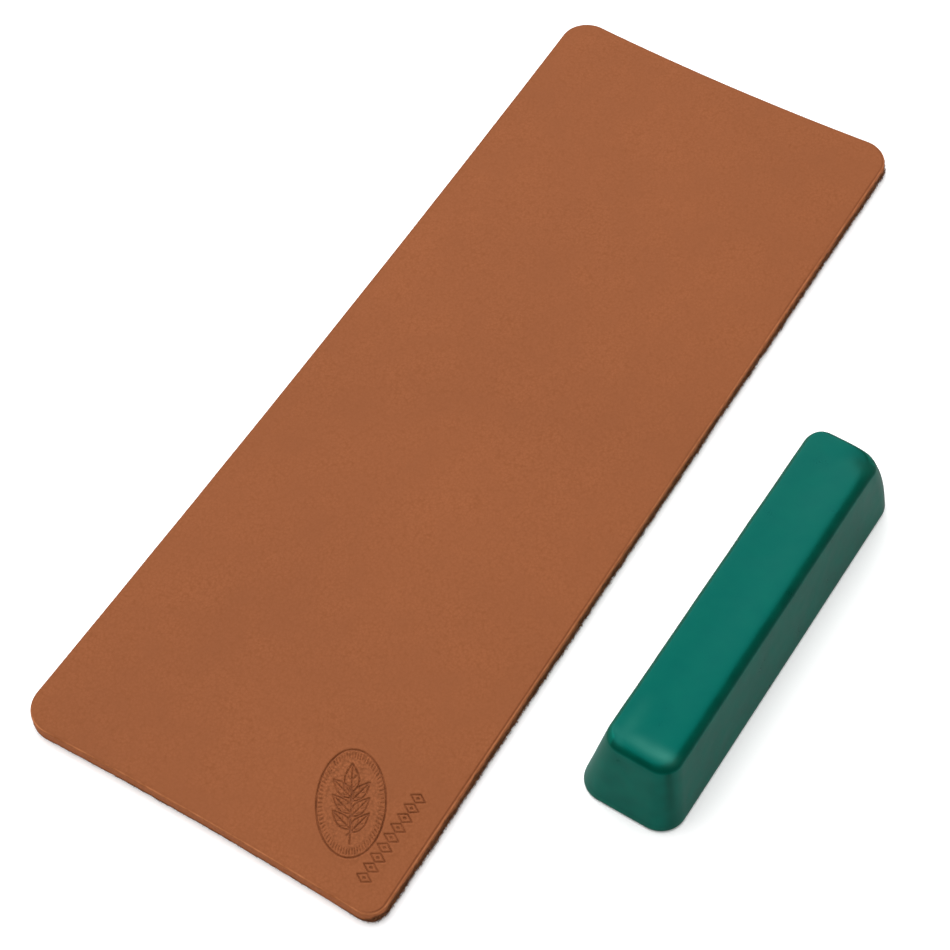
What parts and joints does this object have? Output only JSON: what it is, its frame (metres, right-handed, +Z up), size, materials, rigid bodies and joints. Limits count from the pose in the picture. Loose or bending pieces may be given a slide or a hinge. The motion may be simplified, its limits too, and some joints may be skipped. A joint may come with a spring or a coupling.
{
  "type": "leather strop",
  "caption": "Flat rectangular leather strop with rounded corners, lying beside its loose bar of green polishing compound, for honing carving knives.",
  "frame": {"origin": "centre of the strop's underside, on the surface that it lies on", "axes": "+Y along the strop, away from its stamped end; +X across it, towards the bar; +Z up, out of its smooth face"},
  "size_m": [0.1132, 0.2, 0.0162],
  "materials": {
    "strop_leather": "tan vegetable-tanned hide, matte smooth grain face, raw cut edges and rough flesh side",
    "green_compound": "dark green waxy cast compound, semi-gloss"
  },
  "bodies": {
    "strop": {"leather_strop": "strop_leather"},
    "compound_bar": {"compound_bar": "green_compound"}
  },
  "joints": [
    {"name": "compound_bar_lift", "type": "slide", "parent": "strop", "child": "compound_bar", "axis": [0, 0, 1], "range_m": [0, 0.08]}
  ]
}
